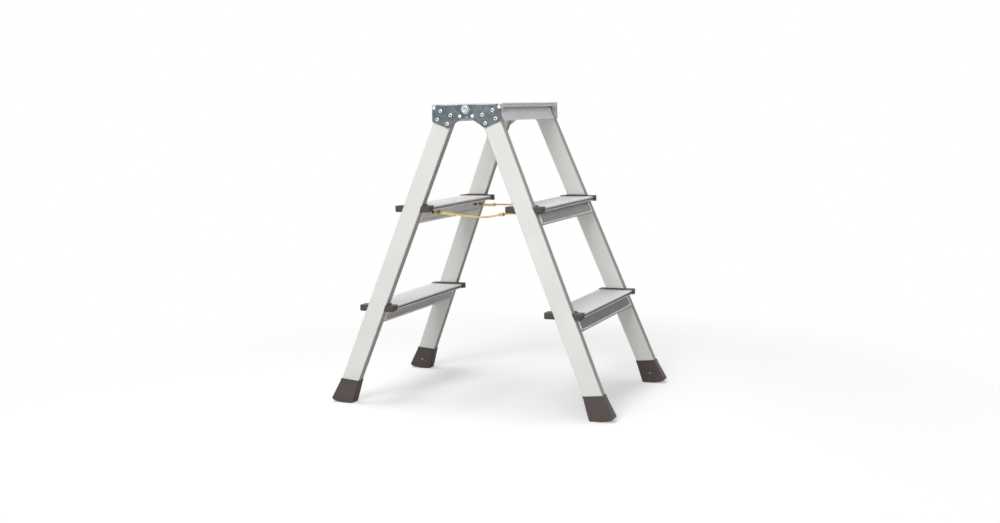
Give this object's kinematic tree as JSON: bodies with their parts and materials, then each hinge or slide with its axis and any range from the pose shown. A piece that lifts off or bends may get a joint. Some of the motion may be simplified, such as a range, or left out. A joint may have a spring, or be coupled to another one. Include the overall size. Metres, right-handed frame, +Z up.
{
  "type": "step ladder",
  "caption": "Double-sided folding step ladder: two welded aluminium tread frames hinged at the top and tied by ropes, with plastic end caps and feet.",
  "frame": {"origin": "on the floor at the middle of the open ladder's stand", "axes": "+Z up, +X from the left frame to the right frame, +Y along the treads away from the viewer; near is -Y, far is +Y"},
  "size_m": [0.6494, 0.419, 0.648],
  "materials": {
    "aluminium": "satin anodised, with fine drawing lines",
    "zinc_steel": "zinc plated, slightly mottled",
    "bright_steel": "bright plated",
    "brown_plastic": "matt moulded, brown-black",
    "yellow_rope": "laid twine",
    "cream_plastic": "matt"
  },
  "bodies": {
    "left_frame": {"tread_left_bottom": "aluminium", "tread_left_middle": "aluminium", "tread_left_top": "aluminium", "stile_left_near": "aluminium", "foot_left_near": "brown_plastic", "foot_rivet_left_near": "bright_steel", "end_cap_left_near_bottom": "brown_plastic", "end_cap_left_near_middle": "brown_plastic", "hinge_plate_left_near": "zinc_steel", "nosing_rivet_left_near": "bright_steel", "neck_rivet_left_near": "bright_steel", "rope_end_near_left": "yellow_rope", "rope_washer_near_left": "cream_plastic", "rope_eyelet_near_left": "bright_steel", "stile_left_far": "aluminium", "foot_left_far": "brown_plastic", "foot_rivet_left_far": "bright_steel", "end_cap_left_far_bottom": "brown_plastic", "end_cap_left_far_middle": "brown_plastic", "hinge_plate_left_far": "zinc_steel", "nosing_rivet_left_far": "bright_steel", "neck_rivet_left_far": "bright_steel", "rope_end_far_left": "yellow_rope", "rope_washer_far_left": "cream_plastic", "rope_eyelet_far_left": "bright_steel", "hinge_pin_near": "bright_steel", "hinge_pin_far": "bright_steel", "hinge_washer_near": "zinc_steel", "hinge_washer_far": "zinc_steel"},
    "right_frame": {"tread_right_bottom": "aluminium", "tread_right_middle": "aluminium", "tread_right_top": "aluminium", "stile_right_near": "aluminium", "foot_right_near": "brown_plastic", "foot_rivet_right_near": "bright_steel", "end_cap_right_near_bottom": "brown_plastic", "end_cap_right_near_middle": "brown_plastic", "hinge_plate_right_near": "zinc_steel", "nosing_rivet_right_near": "bright_steel", "neck_rivet_right_near": "bright_steel", "rope_end_near_right": "yellow_rope", "rope_washer_near_right": "cream_plastic", "rope_eyelet_near_right": "bright_steel", "stile_right_far": "aluminium", "foot_right_far": "brown_plastic", "foot_rivet_right_far": "bright_steel", "end_cap_right_far_bottom": "brown_plastic", "end_cap_right_far_middle": "brown_plastic", "hinge_plate_right_far": "zinc_steel", "nosing_rivet_right_far": "bright_steel", "neck_rivet_right_far": "bright_steel", "rope_end_far_right": "yellow_rope", "rope_washer_far_right": "cream_plastic", "rope_eyelet_far_right": "bright_steel"},
    "rope_near_left_half": {"rope_half_near_left": "yellow_rope"},
    "rope_near_right_half": {"rope_half_near_right": "yellow_rope"},
    "rope_far_left_half": {"rope_half_far_left": "yellow_rope"},
    "rope_far_right_half": {"rope_half_far_right": "yellow_rope"}
  },
  "joints": [
    {"name": "fold", "type": "hinge", "parent": "left_frame", "child": "right_frame", "pos_m": [0, 0, 0.6354], "axis": [0, 1, 0], "range_deg": [0, 43.5]},
    {"name": "rope_near_swing", "type": "hinge", "parent": "left_frame", "child": "rope_near_left_half", "pos_m": [-0.09791, -0.1155, 0.415], "axis": [0, 1, 0], "range_deg": [0, 102], "deforming": ["rope_half_near_left"]},
    {"name": "rope_near_bend", "type": "hinge", "parent": "rope_near_left_half", "child": "rope_near_right_half", "pos_m": [0, -0.1155, 0.4054], "axis": [0, 1, 0], "range_deg": [-159, 0], "deforming": ["rope_half_near_right"]},
    {"name": "rope_far_swing", "type": "hinge", "parent": "left_frame", "child": "rope_far_left_half", "pos_m": [-0.09791, 0.1155, 0.415], "axis": [0, 1, 0], "range_deg": [0, 108], "deforming": ["rope_half_far_left"]},
    {"name": "rope_far_bend", "type": "hinge", "parent": "rope_far_left_half", "child": "rope_far_right_half", "pos_m": [0, 0.1155, 0.4145], "axis": [0, 1, 0], "range_deg": [-170, 0], "deforming": ["rope_half_far_right"]}
  ],
  "couplings": [
    {"joint": "rope_near_swing", "follows": "fold", "ratio": 2.316},
    {"joint": "rope_near_bend", "follows": "fold", "ratio": -3.6319},
    {"joint": "rope_far_swing", "follows": "fold", "ratio": 2.4374},
    {"joint": "rope_far_bend", "follows": "fold", "ratio": -3.8747}
  ]
}
